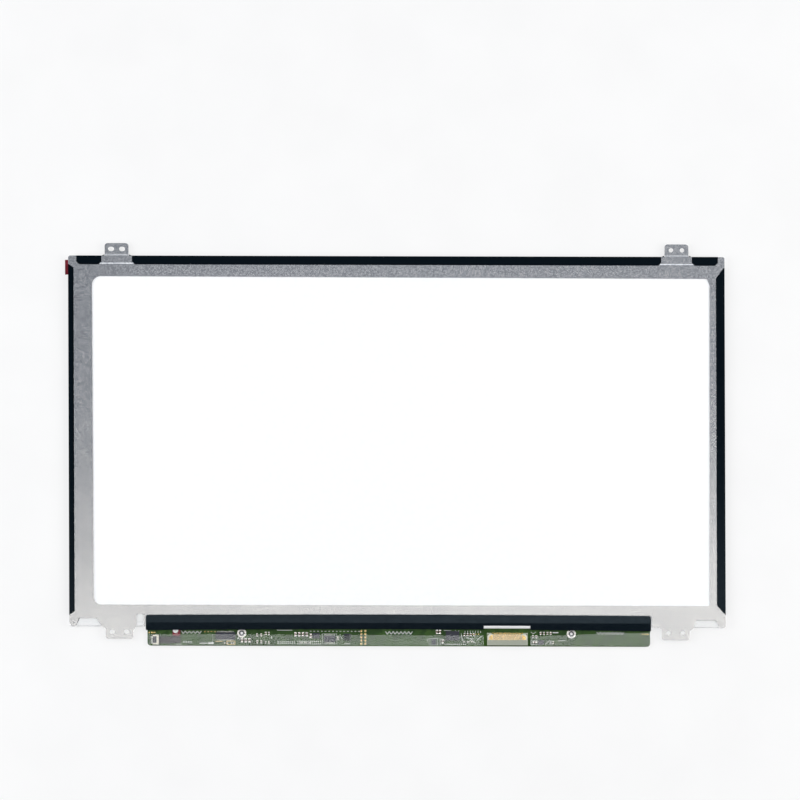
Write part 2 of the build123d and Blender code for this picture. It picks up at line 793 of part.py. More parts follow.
with BuildPart() as control_board:
    with BuildSketch(Plane.XY.offset(board_front)) as board_outline:
        area(board_left, board_right, board_bottom, board_top)
        fillet(board_outline.vertices().group_by(Axis.Y)[0], board_radius)
        with Locations(*pin_places):
            Circle(pin_hole_radius, mode=Mode.SUBTRACT)
    extrude(amount=board_thickness)
write(control_board, "control_board")

with BuildPart() as ground_rings:
    with BuildSketch(Plane.XY.offset(board_back)):
        with Locations(*pin_places):
            Circle(ground_ring_radius)
            Circle(pin_hole_radius, mode=Mode.SUBTRACT)
    extrude(amount=copper)
write(ground_rings, "ground_rings")

with BuildPart() as test_pads:
    with BuildSketch(Plane.XY.offset(board_back)):
        for first_x, first_y, columns, rows, column_pitch, row_pitch, radius in pad_groups:
            middle = (first_x + (columns - 1) * column_pitch / 2, first_y + (rows - 1) * row_pitch / 2)
            with Locations(middle):
                with GridLocations(column_pitch, row_pitch, columns, rows):
                    RegularPolygon(radius, pad_sides)
    extrude(amount=copper)
write(test_pads, "test_pads")

# Black tape over the lamps and the board's upper edge
with BuildPart() as board_tape:
    with BuildSketch(Plane.YZ.offset(board_tape_left)):
        outline(
            (board_tape_crest, plate_low),
            (board_tape_fold, plate_low),
            (board_tape_end, cover_height(board_tape_end)),
            (board_tape_end, cover_height(board_tape_end) + tape),
            (board_tape_fold, plate_low + tape),
            (board_tape_crest, plate_low + tape),
        )
    extrude(amount=board_tape_right - board_tape_left)
    with BuildSketch(Plane.XY) as tape_outline:
        with BuildLine():
            upper_edge = crest(board_tape_left, board_tape_right, board_tape_top, board_gap_rise)
            lower_edge = crest(board_tape_left, board_tape_right, board_tape_end, board_tape_end_rise)
            Line(upper_edge @ 0, lower_edge @ 0)
            Line(upper_edge @ 1, lower_edge @ 1)
        make_face()
        fillet(tape_outline.vertices().group_by(Axis.Y)[-1], board_tape_radius)
        area(socket_gap_left, socket_gap_right, board_tape_end, socket_gap_top, mode=Mode.SUBTRACT)
    extrude(amount=plate_high, mode=Mode.INTERSECT)
write(board_tape, "board_tape")

# Clear insulating films over the board, one on each side of the signal socket
for side, left, right, corner in (
    ("left", board_left, socket_gap_left, 0),
    ("right", socket_gap_right, board_right, -1),
):
    with BuildPart() as clear:
        for x, fold in zip((left, right), film_folds[side]):
            with BuildSketch(Plane.YZ.offset(x)):
                outline(
                    (film_start, cover_height(film_start)),
                    (fold, film_flat),
                    (film_end, film_flat),
                    (film_end, film_flat - clear_film),
                    (fold, film_flat - clear_film),
                    (film_start, cover_height(film_start) - clear_film),
                )
        loft(ruled=True)
        lower_corners = clear.edges().filter_by(Axis.Z).group_by(Axis.Y)[0].sort_by(Axis.X)
        fillet(lower_corners[corner], board_radius)
    write(clear, f"board_film_{side}")

# Signal socket: moulded base, contact fingers and metal shell
with BuildPart() as socket_housing:
    with BuildSketch(Plane.XY.offset(board_back)):
        area(socket_x - socket_half, socket_x + socket_half, socket_mouth, socket_back)
    extrude(amount=socket_floor)
    with BuildSketch(Plane.XY.offset(base_top)):
        for side in (-1, 1):
            outer = socket_x + side * socket_half
            area(outer, outer - side * socket_tower, socket_mouth, socket_back)
    extrude(amount=socket_height - socket_floor)
    back_corners = socket_housing.edges().filter_by(Axis.Z).group_by(Axis.Y)[-1].sort_by(Axis.X)
    chamfer([back_corners[0], back_corners[-1]], socket_bevel)
write(socket_housing, "signal_socket_housing")

with BuildPart() as contacts:
    with BuildSketch(Plane.YZ.offset(socket_x - contact_width / 2)) as finger_profile:
        with BuildLine():
            Polyline(
                (contact_foot, board_back),
                (socket_back, board_back),
                (socket_back, base_top),
                (contact_reach, base_top),
            )
            offset(amount=contact_thickness, side=Side.RIGHT, kind=Kind.INTERSECTION)
        make_face()
    finger = extrude(amount=contact_width, mode=Mode.PRIVATE)
    with GridLocations(contact_pitch, 1, contact_count, 1):
        add(finger)
write(contacts, "signal_socket_contacts")

with BuildPart() as socket_shell:
    with BuildSketch(Plane.XY.offset(tower_top)):
        area(socket_x - shell_half, socket_x + shell_half, socket_mouth - shell, shell_back)
    extrude(amount=shell)
    for side in (-1, 1):
        outer = socket_x + side * shell_half
        with BuildSketch(Plane.XY.offset(board_back)):
            area(outer, outer - side * shell, socket_mouth - shell, shell_foot_back)
        extrude(amount=socket_height)
        with BuildSketch(Plane.XY.offset(board_back)):
            area(outer, outer - side * shell_foot, socket_back + shell, shell_foot_back)
        extrude(amount=shell)
write(socket_shell, "signal_socket_shell")

# Socket for the lamp strip's tail
with BuildPart() as lamp_socket:
    with BuildSketch(Plane.XY.offset(board_back)):
        area(lamp_socket_left, lamp_socket_right, lamp_socket_bottom, lamp_socket_top)
    extrude(amount=lamp_socket_height)
    with BuildSketch(Plane.XY.offset(lamp_strip_front - lip_clearance)):
        area(
            lamp_tail_end - lip_clearance, lamp_socket_right,
            lamp_tail_bottom - lip_clearance, lamp_tail_top + lip_clearance,
        )
    extrude(amount=lamp_strip_thickness + 2 * lip_clearance, mode=Mode.SUBTRACT)
    with BuildSketch(Plane.XY.offset(board_back + lamp_socket_height)):
        area(
            lamp_socket_left, lamp_socket_recess_end,
            lamp_socket_bottom + lamp_socket_wall, lamp_socket_top - lamp_socket_wall,
        )
    extrude(amount=-lamp_socket_recess, mode=Mode.SUBTRACT)
write(lamp_socket, "lamp_socket")

with BuildPart() as lamp_latch:
    with BuildSketch(Plane.XY.offset(board_back + lamp_socket_height - lamp_socket_recess)):
        area(
            lamp_socket_left, lamp_socket_recess_end - lamp_latch_gap,
            lamp_socket_bottom + lamp_socket_wall + lamp_latch_gap,
            lamp_socket_top - lamp_socket_wall - lamp_latch_gap,
        )
    extrude(amount=lamp_socket_recess - lamp_latch_drop)
    chamfer(lamp_latch.faces().sort_by(Axis.Z)[-1].edges(), chip_bevel)
write(lamp_latch, "lamp_socket_latch")

with BuildPart() as lamp_pins:
    with Locations((lamp_socket_left, (lamp_socket_bottom + lamp_socket_top) / 2, board_back)):
        with GridLocations(1, lamp_pin_pitch, 1, lamp_pin_count):
            Box(*lamp_pin_size, align=(Align.MAX, Align.CENTER, Align.MIN))
write(lamp_pins, "lamp_socket_pins")

# Moulded chips and their leads
for label, (chip_x, chip_y, width, depth, height) in board_chips.items():
    with BuildPart() as chip:
        with Locations((chip_x, chip_y, board_back)):
            Box(width, depth, height, align=(Align.CENTER, Align.CENTER, Align.MIN))
        chamfer(chip.faces().sort_by(Axis.Z)[-1].edges(), chip_bevel)
    write(chip, label)

with BuildPart() as chip_leads:
    for label, (count, pitch) in chip_lead_rows.items():
        chip_x, chip_y, width, depth, height = board_chips[label]
        for side in (-1, 1):
            with Locations((chip_x, chip_y + side * (depth + chip_lead_size[1]) / 2, board_back)):
                with GridLocations(pitch, 1, count, 1):
                    Box(*chip_lead_size, align=(Align.CENTER, Align.CENTER, Align.MIN))
write(chip_leads, "chip_leads")


# Small chip parts with their metal ends
def chip_places():
    """Each small part's place and turn on the board, with its size."""
    for first, y, count, pitch, size, across in chip_rows:
        for place in range(count):
            turn = 90 if across else 0
            yield Location((first + place * pitch, y, board_back), (0, 0, turn)), chip_sizes[size]


with BuildPart() as chip_bodies:
    for place, (length, width, height) in chip_places():
        with Locations(place):
            Box(
                length * (1 - 2 * chip_end_share), width, height,
                align=(Align.CENTER, Align.CENTER, Align.MIN),
            )
write(chip_bodies, "chip_bodies")

with BuildPart() as chip_ends:
    for place, (length, width, height) in chip_places():
        end = length * chip_end_share
        with Locations(place):
            with GridLocations(length - end, 1, 2, 1):
                Box(end, width, height, align=(Align.CENTER, Align.CENTER, Align.MIN))
write(chip_ends, "chip_ends")
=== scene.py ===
"""Looks of a slim laptop screen panel that lies on its screen: finishes, board details, light and camera.

Places on the object are in millimetres, in the frame of its solids, and become metres through MM.
Lamps, floor and camera are in metres.
"""

import json
import math

import bmesh
import bpy
from mathutils import Matrix, Vector


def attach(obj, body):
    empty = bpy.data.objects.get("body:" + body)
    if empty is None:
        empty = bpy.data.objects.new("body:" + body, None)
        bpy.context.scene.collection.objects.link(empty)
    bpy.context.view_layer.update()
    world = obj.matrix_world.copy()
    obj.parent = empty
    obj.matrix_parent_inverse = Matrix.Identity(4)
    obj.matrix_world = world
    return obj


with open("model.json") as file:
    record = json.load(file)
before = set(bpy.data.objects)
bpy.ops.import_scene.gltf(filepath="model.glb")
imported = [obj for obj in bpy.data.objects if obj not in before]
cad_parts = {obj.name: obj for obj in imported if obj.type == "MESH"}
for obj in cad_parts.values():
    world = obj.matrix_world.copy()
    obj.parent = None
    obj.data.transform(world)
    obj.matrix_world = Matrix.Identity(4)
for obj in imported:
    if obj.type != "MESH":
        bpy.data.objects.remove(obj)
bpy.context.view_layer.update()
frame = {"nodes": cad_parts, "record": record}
nodes = frame["nodes"]
MM = 0.001

scene = bpy.context.scene
scene.view_settings.view_transform = "Standard"


# Helpers for node materials
def start_finish(name, **constants):
    """A new material with its node tree and its shader, whose even values are set at once."""
    material = bpy.data.materials.new(name)
    material.use_nodes = True
    tree = material.node_tree
    shader = tree.nodes["Principled BSDF"]
    for socket, value in constants.items():
        shader.inputs[socket.replace("_", " ")].default_value = value
    return material, tree, shader


def texture_place(tree, stretch=(1, 1, 1)):
    """The surface's own place in the object's frame, stretched along its axes."""
    coordinates = tree.nodes.new("ShaderNodeTexCoord")
    mapping = tree.nodes.new("ShaderNodeMapping")
    mapping.inputs["Scale"].default_value = stretch
    tree.links.new(coordinates.outputs["Object"], mapping.inputs["Vector"])
    return mapping.outputs["Vector"]


def along(tree, axis):
    """The surface's own place along one axis of the object's frame, in metres."""
    parts = tree.nodes.new("ShaderNodeSeparateXYZ")
    tree.links.new(texture_place(tree), parts.inputs["Vector"])
    return parts.outputs[axis]


def noise(tree, size, detail=2.0, stretch=(1, 1, 1)):
    """Cloudy noise whose features are about this many millimetres wide."""
    node = tree.nodes.new("ShaderNodeTexNoise")
    node.inputs["Scale"].default_value = 1 / (size * MM)
    node.inputs["Detail"].default_value = detail
    tree.links.new(texture_place(tree, stretch), node.inputs["Vector"])
    return node.outputs["Fac"]


def cells(tree, size):
    """A pattern of square-edged cells about this many millimetres wide."""
    node = tree.nodes.new("ShaderNodeTexVoronoi")
    node.distance = "CHEBYCHEV"
    node.inputs["Scale"].default_value = 1 / (size * MM)
    tree.links.new(texture_place(tree), node.inputs["Vector"])
    return node.outputs["Color"]


def ramp(tree, source, *stops):
    """A colour for each level of the source, from stops of level and colour."""
    node = tree.nodes.new("ShaderNodeValToRGB")
    elements = node.color_ramp.elements
    while len(elements) < len(stops):
        elements.new(1.0)
    for element, (level, colour) in zip(elements, stops):
        element.position = level
        element.color = (*colour, 1)
    tree.links.new(source, node.inputs["Fac"])
    return node.outputs["Color"]


def spread(tree, source, low, high, start=0.3, end=0.7):
    """The source's middle range stretched over the values from low to high."""
    node = tree.nodes.new("ShaderNodeMapRange")
    node.inputs["From Min"].default_value = start
    node.inputs["From Max"].default_value = end
    node.inputs["To Min"].default_value = low
    node.inputs["To Max"].default_value = high
    tree.links.new(source, node.inputs["Value"])
    return node.outputs["Result"]


def mixed(tree, factor, first, second, kind="MIX"):
    """Two colours mixed by a factor."""
    node = tree.nodes.new("ShaderNodeMix")
    node.data_type = "RGBA"
    node.blend_type = kind
    if isinstance(factor, float):
        node.inputs["Factor"].default_value = factor
    else:
        tree.links.new(factor, node.inputs["Factor"])
    colours = [socket for socket in node.inputs if socket.type == "RGBA"]
    for socket, colour in zip(colours, (first, second)):
        if isinstance(colour, tuple):
            socket.default_value = (*colour, 1)
        else:
            tree.links.new(colour, socket)
    return next(socket for socket in node.outputs if socket.type == "RGBA")


def relief(tree, shader, source, depth):
    """Fine relief of this depth in millimetres on the shader's surface."""
    node = tree.nodes.new("ShaderNodeBump")
    node.inputs["Distance"].default_value = depth * MM
    tree.links.new(source, node.inputs["Height"])
    tree.links.new(node.outputs["Normal"], shader.inputs["Normal"])


def mottled(name, dark, light, grain, roughness, depth=0.0, stretch=(1, 1, 1), **constants):
    """A surface that varies gently between two colours, with its gloss and relief."""
    material, tree, shader = start_finish(name, **constants)
    source = noise(tree, grain, 3.0, stretch)
    tree.links.new(ramp(tree, source, (0.3, dark), (0.7, light)), shader.inputs["Base Color"])
    gloss = spread(tree, noise(tree, 4 * grain, 2.0, stretch), *roughness)
    tree.links.new(gloss, shader.inputs["Roughness"])
    if depth:
        relief(tree, shader, source, depth)
    return material


# Finishes of the record's slots
def sheet_metal():
    """Zinc-coated sheet with a fine mottle and broad, faint clouds; the mottle is painted stronger towards
    the top and weaker towards the board, as painted shade for the dimmer reflection at the top.
    """
    material, tree, shader = start_finish("sheet_metal", Metallic=0.86)
    fine = noise(tree, 0.9, 2.0)
    grain_painted_dim_top = ramp(tree, fine, (0.38, (0.545, 0.56, 0.59)), (0.62, (0.79, 0.795, 0.81)))
    grain_painted_bright_bottom = ramp(tree, fine, (0.38, (0.64, 0.65, 0.66)), (0.62, (0.715, 0.72, 0.72)))
    # Painted shade: stronger mottle at the top, where the reflection is dimmer, fading to a weaker one
    # towards the board
    grain = mixed(tree, spread(tree, along(tree, "Y"), 0, 1, -80 * MM, 20 * MM), grain_painted_bright_bottom, grain_painted_dim_top)
    clouds = ramp(tree, noise(tree, 30, 2.0), (0.3, (0.93, 0.935, 0.94)), (0.7, (1, 1, 1)))
    tree.links.new(mixed(tree, 1.0, grain, clouds, "MULTIPLY"), shader.inputs["Base Color"])
    tree.links.new(spread(tree, noise(tree, 1.6, 2.0), 0.235, 0.265), shader.inputs["Roughness"])
    relief(tree, shader, fine, 0.003)
    return material


def green_board():
    """Green lacquer over copper, lighter where broad copper areas lie below it."""
    material, tree, shader = start_finish("green_board", Specular_IOR_Level=0.15)
    areas = cells(tree, 3.2)
    copper = ramp(tree, areas, (0.35, (0.022, 0.058, 0.009)), (0.6, (0.040, 0.092, 0.016)))
    lacquer = ramp(tree, noise(tree, 0.7, 3.0), (0.3, (0.8, 0.82, 0.8)), (0.7, (1, 1, 1)))
    tree.links.new(mixed(tree, 1.0, copper, lacquer, "MULTIPLY"), shader.inputs["Base Color"])
    tree.links.new(spread(tree, noise(tree, 2.0), 0.5, 0.6), shader.inputs["Roughness"])
    relief(tree, shader, areas, 0.01)
    return material


def clear_film():
    """Clear film that shows mainly by what it reflects."""
    material, tree, shader = start_finish("clear_film", Metallic=1.0, Alpha=0.026)
    haze = noise(tree, 9, 2.0)
    tree.links.new(
        ramp(tree, haze, (0.3, (0.84, 0.91, 0.96)), (0.7, (0.90, 0.96, 1.0))), shader.inputs["Base Color"]
    )
    tree.links.new(spread(tree, noise(tree, 5), 0.06, 0.10), shader.inputs["Roughness"])
    relief(tree, shader, noise(tree, 14, 1.0), 0.01)
    return material


def reflector_white():
    """White film, a little greyer near the lamps, where the frame and the board tape cover it."""
    material, tree, shader = start_finish("reflector_white")
    grain = noise(tree, 3.0, 3.0)
    white = ramp(tree, grain, (0.3, (0.93, 0.935, 0.935)), (0.7, (0.955, 0.955, 0.955)))
    grey = ramp(tree, grain, (0.3, (0.76, 0.76, 0.75)), (0.7, (0.79, 0.79, 0.78)))
    covered = spread(tree, along(tree, "Y"), 1, 0, -93 * MM, -91 * MM)
    tree.links.new(mixed(tree, covered, white, grey), shader.inputs["Base Color"])
    tree.links.new(spread(tree, noise(tree, 12.0), 0.5, 0.6), shader.inputs["Roughness"])
    return material


def black_tape():
    """Black tape with a bluish sheen; the folded tape above the board is glossier than the edge tapes."""
    material = mottled(
        "black_tape", (0.0006, 0.0022, 0.004), (0.0012, 0.0034, 0.006), 0.6, (0.16, 0.22), 0.003,
        Specular_Tint=(0.6, 0.82, 1.0, 1),
    )
    tree = material.node_tree
    sheen = spread(tree, along(tree, "Y"), 0.31, 0.17, -95 * MM, -94.5 * MM)
    tree.links.new(sheen, tree.nodes["Principled BSDF"].inputs["Specular IOR Level"])
    return material


finishes = {
    "sheet_metal": sheet_metal(),
    "green_board": green_board(),
    "clear_film": clear_film(),
    "reflector_white": reflector_white(),
    "moulded_white": mottled(
        "moulded_white", (0.76, 0.765, 0.76), (0.82, 0.82, 0.81), 0.8, (0.4, 0.5), 0.004,
    ),
    "black_tape": black_tape(),
    "red_film": mottled("red_film", (0.15, 0.008, 0.016), (0.21, 0.014, 0.026), 1.5, (0.2, 0.3), 0.002),
    "polarizer": mottled("polarizer", (0.012, 0.012, 0.014), (0.02, 0.02, 0.024), 2.0, (0.25, 0.35)),
    "screen_glass": mottled("screen_glass", (0.10, 0.13, 0.125), (0.13, 0.16, 0.15), 5.0, (0.05, 0.12)),
    "optical_sheet": mottled("optical_sheet", (0.78, 0.79, 0.80), (0.84, 0.84, 0.84), 2.0, (0.3, 0.4)),
    "light_guide": mottled("light_guide", (0.70, 0.75, 0.76), (0.78, 0.82, 0.82), 3.0, (0.1, 0.2)),
    "brown_circuit": mottled(
        "brown_circuit", (0.009, 0.004, 0.007), (0.018, 0.010, 0.015), 0.9, (0.3, 0.42), 0.006, (1, 3, 1),
    ),
    "lamp": mottled("lamp", (0.78, 0.70, 0.35), (0.88, 0.84, 0.6), 0.5, (0.35, 0.45)),
    "silicon": mottled("silicon", (0.05, 0.05, 0.06), (0.09, 0.09, 0.10), 0.5, (0.1, 0.2)),
    "tinned": mottled(
        "tinned", (0.70, 0.70, 0.68), (0.84, 0.84, 0.81), 0.5, (0.2, 0.34), 0.006, Metallic=1.0,
    ),
    "gold": mottled("gold", (0.76, 0.54, 0.22), (0.92, 0.72, 0.38), 0.4, (0.22, 0.34), 0.004, Metallic=1.0),
    "ivory_plastic": mottled(
        "ivory_plastic", (0.66, 0.63, 0.54), (0.76, 0.73, 0.63), 0.6, (0.35, 0.48), 0.003,
    ),
    "bright_metal": mottled(
        "bright_metal", (0.44, 0.465, 0.385), (0.52, 0.545, 0.455), 0.7, (0.46, 0.54), 0.003, (1, 4, 1),
        Metallic=1.0,
    ),
    "chip_black": mottled(
        "chip_black", (0.010, 0.011, 0.018), (0.022, 0.024, 0.038), 0.35, (0.45, 0.6), 0.006,
    ),
    "chip_brown": mottled("chip_brown", (0.09, 0.055, 0.035), (0.17, 0.11, 0.075), 0.4, (0.4, 0.5), 0.004),
}

for subpart in frame["record"]["subparts"]:
    mesh = nodes[subpart["node"]].data
    mesh.materials.clear()
    mesh.materials.append(finishes[subpart["material_slot"]])


# Folded and cut edges of the sheet metal catch the light
EDGE_ROUND = 0.16

for name in ("rear_frame", "signal_socket_shell"):
    joined = nodes[name].modifiers.new("join_corners", "WELD")
    joined.merge_threshold = 0.001 * MM
    edges = nodes[name].modifiers.new("round_edges", "BEVEL")
    edges.width = EDGE_ROUND * MM
    edges.segments = 2
    edges.limit_method = "ANGLE"
    edges.angle_limit = math.radians(25)


# Small details of the board, which the solids leave out
BOARD_BACK = 1.24
PRINT_HEIGHT = 0.025
LAND_HEIGHT = 0.05
LAND_MARGIN = 0.07


def add_piece(name, slot, mesh):
    """A new piece from this mesh, fixed to the panel, with a slot's finish."""
    data = bpy.data.meshes.new(name)
    mesh.to_mesh(data)
    mesh.free()
    data.materials.append(finishes[slot])
    piece = bpy.data.objects.new(name, data)
    scene.collection.objects.link(piece)
    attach(piece, "root")


def add_plates(name, slot, outlines, low, high):
    """Thin plates with these outlines between two heights, as one piece."""
    mesh = bmesh.new()
    for points in outlines:
        below = [mesh.verts.new((x * MM, y * MM, low * MM)) for x, y in points]
        above = [mesh.verts.new((x * MM, y * MM, high * MM)) for x, y in points]
        mesh.faces.new(above)
        mesh.faces.new(below[::-1])
        for here in range(len(points)):
            mesh.faces.new((below[here - 1], below[here], above[here], above[here - 1]))
    add_piece(name, slot, mesh)


def stroke(width, *points):
    """Outline of a line of this width through the points, with its corners mitred."""
    path = [Vector(point) for point in points]
    steps = [(end - start).normalized() for start, end in zip(path, path[1:])]
    left, right = [], []
    for place, before, after in zip(path, steps[:1] + steps, steps + steps[-1:]):
        across = Vector((-before.y - after.y, before.x + after.x)).normalized()
        reach = width / 2 / across.dot(Vector((-after.y, after.x)))
        left.append(place + reach * across)
        right.append(place - reach * across)
    return right + left[::-1]


def box(left, right, bottom, top):
    """Outline of a rectangle by its four sides."""
    return [(left, bottom), (right, bottom), (right, top), (left, top)]


def frame_strokes(width, left, right, bottom, top):
    """Outlines of the four lines round a rectangle."""
    half = width / 2
    return [
        box(left - half, right + half, bottom - half, bottom + half),
        box(left - half, right + half, top - half, top + half),
        box(left - half, left + half, bottom + half, top - half),
        box(right - half, right + half, bottom + half, top - half),
    ]


def disc(x, y, radius, sides):
    """Outline of a disc."""
    turns = [math.tau * side / sides for side in range(sides)]
    return [(x + radius * math.cos(turn), y + radius * math.sin(turn)) for turn in turns]


def row(first, last, count, y, width, height):
    """Outlines of a row of short bars with even gaps."""
    pitch = (last - first) / (count - 1)
    middles = [first + place * pitch for place in range(count)]
    return [box(x - width / 2, x + width / 2, y - height / 2, y + height / 2) for x in middles]


def zigzag(left, right, bottom, top, teeth, width):
    """Outline of a zigzag line with this many teeth."""
    points = []
    for half in range(2 * teeth + 1):
        points.append((left + (right - left) * half / (2 * teeth), bottom if half % 2 else top))
    return stroke(width, *points)


def islands(mesh):
    """Boxes round the separate parts of a mesh, in millimetres."""
    work = bmesh.new()
    work.from_mesh(mesh)
    bmesh.ops.remove_doubles(work, verts=work.verts, dist=0.001 * MM)
    waiting = set(work.verts)
    boxes = []
    while waiting:
        found = {waiting.pop()}
        edge = list(found)
        while edge:
            for link in edge.pop().link_edges:
                fresh = [vertex for vertex in link.verts if vertex in waiting]
                waiting.difference_update(fresh)
                found.update(fresh)
                edge.extend(fresh)
        across = [vertex.co.x / MM for vertex in found]
        up = [vertex.co.y / MM for vertex in found]
        boxes.append((min(across), max(across), min(up), max(up)))
    work.free()
    return sorted(boxes)


# Soldered lands below the ends of the small chip parts
lands = [
    box(left - LAND_MARGIN, right + LAND_MARGIN, bottom - LAND_MARGIN, top + LAND_MARGIN)
    for left, right, bottom, top in islands(nodes["chip_ends"].data)
]
add_plates("chip_lands", "tinned", lands, BOARD_BACK, BOARD_BACK + LAND_HEIGHT)

# White print on the board: zigzag marks, frames round the chips, and short plain strokes
PRINT_WIDTH = 0.2
prints = [
    zigzag(-118.4, -107.4, -104.95, -103.5, 5, 0.28),
    zigzag(-6.6, 8.2, -105.05, -103.5, 7, 0.28),
    zigzag(109.0, 124.1, -104.95, -103.5, 7, 0.28),
    box(-66.0, -57.6, -103.1, -102.85),
    stroke(0.35, (-108.5, -110.3), (-104.2, -110.3)),
    box(-103.7, -100.7, -110.6, -109.9),
    stroke(0.3, (-87.8, -108.0), (-87.1, -107.2), (-86.6, -108.0)),
    stroke(0.3, (-69.2, -106.4), (-68.8, -107.6)),
    box(85.0, 88.1, -104.2, -103.7),
    *row(-47.6, -21.0, 14, -103.5, 0.8, 0.28),
    *row(-54.6, -42.2, 12, -109.2, 0.45, 0.6),
    *row(-54.6, -42.2, 12, -110.5, 0.45, 0.5),
    *row(-117.0, -113.1, 4, -109.6, 0.45, 0.8),
    *row(-65.4, -56.4, 9, -109.4, 0.6, 0.35),
    *row(-65.4, -56.4, 9, -110.2, 0.6, 0.35),
    *row(26.0, 37.2, 11, -110.6, 0.5, 0.4),
    *row(37.0, 45.5, 7, -103.6, 0.22, 1.1),
    *frame_strokes(0.12, -41.2, -33.3, -110.5, -104.9),
    *frame_strokes(0.14, 17.7, 21.9, -111.0, -107.3),
    *frame_strokes(0.14, 73.2, 77.0, -110.7, -108.2),
]
for y in (-105.3, -106.5, -107.7, -108.9, -110.1):
    prints.append(stroke(PRINT_WIDTH, (-101.2, y), (-101.2, y - 0.75)))
for points in (
    ((16.9, -107.4), (16.3, -108.4), (16.9, -109.4)),
    ((25.3, -102.9), (29.4, -102.9)),
    ((31.6, -102.8), (32.6, -103.8), (33.8, -102.8)),
    ((23.3, -106.9), (23.3, -111.0)),
    ((34.8, -104.4), (35.6, -108.6)),
    ((37.6, -106.8), (41.8, -107.6)),
    ((38.2, -109.9), (40.4, -107.9), (42.6, -109.9)),
    ((46.2, -105.9), (43.4, -108.4)),
    ((80.9, -110.4), (82.8, -108.6)),
    ((83.5, -108.3), (83.5, -110.6)),
    ((84.1, -108.3), (84.1, -110.6)),
    ((-31.0, -106.4), (-30.3, -107.8)),
    ((-29.2, -110.4), (-26.0, -110.4)),
    ((-121.4, -110.9), (-118.1, -110.9)),
    ((73.0, -103.6), (74.4, -104.6), (75.8, -103.6)),
    ((88.0, -108.4), (92.0, -108.4)),
):
    prints.append(stroke(PRINT_WIDTH, *points))
add_plates("board_print", "moulded_white", prints, BOARD_BACK, BOARD_BACK + PRINT_HEIGHT)

# Bare copper outlines
copper = [
    *frame_strokes(0.3, -93.5, -89.0, -110.9, -109.1),
    stroke(0.3, (-99.7, -109.3), (-95.8, -109.3)),
    stroke(0.25, (51.6, -104.3), (68.7, -104.3)),
    *row(38.2, 44.4, 5, -104.9, 0.5, 0.6),
]
add_plates("board_copper", "gold", copper, BOARD_BACK, BOARD_BACK + PRINT_HEIGHT)

# Painted shade: dark rings round the locating pins, standing in for the shadow in the holes round them; and
# the metal clips on the ends of the signal socket
PIN_SHADE_BACK = BOARD_BACK + 0.06
PIN_SHADE_RADII = (0.78, 1.5)
PIN_SHADE_SIDES = 24
PIN_PLACES = ((-85.3, -104.65), (95.2, -104.65))
pin_hole_shades = []
for x, y in PIN_PLACES:
    inner, outer = (disc(x, y, radius, PIN_SHADE_SIDES) for radius in PIN_SHADE_RADII)
    for side in range(PIN_SHADE_SIDES):
        pin_hole_shades.append([inner[side - 1], outer[side - 1], outer[side], inner[side]])
# Painted shade: a dark ring over the gap round each pin
add_plates("painted_pin_hole_shade", "chip_black", pin_hole_shades, PIN_SHADE_BACK, PIN_SHADE_BACK + PRINT_HEIGHT)

SOCKET_MIDDLE = 60.15
CLIP_LOW = 2.24
CLIP_HEIGHT = 0.06
CLIP_OUTLINE = ((7.9, -108.2), (10.1, -108.2), (10.1, -106.6), (8.7, -105.5), (7.9, -105.5))
clips = []
for end in (-1, 1):
    clip = [(SOCKET_MIDDLE + end * x, y) for x, y in CLIP_OUTLINE]
    clips.append(clip if end > 0 else clip[::-1])
add_plates("socket_clips", "gold", clips, CLIP_LOW, CLIP_LOW + CLIP_HEIGHT)

# Painted shade: dark strips where creases across the clear film show as dark lines
FILM_BACK = 2.38
CREASE_SHADE_HEIGHT = 0.01
crease_shade_strips = [box(9.55, 9.68, -111.2, -106.0), box(101.35, 101.48, -111.2, -105.4)]
add_plates("film_crease_shades", "chip_black", crease_shade_strips, FILM_BACK, FILM_BACK + CREASE_SHADE_HEIGHT)

# Round white dab and red patch on the lamp strip's tail
TAIL_BACK = 1.72
PATCH_BACK = TAIL_BACK + 0.03
DAB_BACK = TAIL_BACK + 0.1
DAB_RADIUS = 1.5
DAB_SIDES = 32
add_plates("tail_patch", "red_film", [box(-123.2, -119.0, -106.2, -101.9)], TAIL_BACK, PATCH_BACK)
add_plates("tail_dab", "moulded_white", [disc(-121.6, -103.3, DAB_RADIUS, DAB_SIDES)], PATCH_BACK, DAB_BACK)


# Camera that looks square at the back, tipped a little towards the board
VIEW_RIGHT = Vector((0.99948, -0.00344, 0.032)).normalized()
VIEW_UP = Vector((-0.0025, 0.983, 0.1836))
VIEW_UP = (VIEW_UP - VIEW_UP.dot(VIEW_RIGHT) * VIEW_RIGHT).normalized()
VIEW_BACK = VIEW_RIGHT.cross(VIEW_UP)
VIEW_WIDTH = 0.4379
VIEW_DISTANCE = 2.0
PHOTO_AIM = (1.67, 24.63)

aim = Vector((0, 0, 3 * MM)) + PHOTO_AIM[0] * MM * VIEW_RIGHT + PHOTO_AIM[1] * MM * VIEW_UP
camera_data = bpy.data.cameras.new("camera")
camera_data.type = "ORTHO"
camera_data.ortho_scale = VIEW_WIDTH
camera = bpy.data.objects.new("camera", camera_data)
turn = Matrix((VIEW_RIGHT, VIEW_UP, VIEW_BACK)).transposed()
camera.matrix_world = Matrix.Translation(aim + VIEW_DISTANCE * VIEW_BACK) @ turn.to_4x4()
scene.collection.objects.link(camera)
scene.camera = camera


# Floor and light
FLOOR_GLOW = 0.75
FLOOR_HALF = 8.0


def seen_directly(tree, share):
    """This share where the camera, a mirror or a film shows the surface, and none for other light."""
    path = tree.nodes.new("ShaderNodeLightPath")
    total = path.outputs["Is Camera Ray"]
    for kind in ("Is Glossy Ray", "Is Transmission Ray"):
        both = tree.nodes.new("ShaderNodeMath")
        both.operation = "ADD"
        tree.links.new(total, both.inputs[0])
        tree.links.new(path.outputs[kind], both.inputs[1])
        total = both.outputs["Value"]
    return spread(tree, total, 0, share, 0, 1)


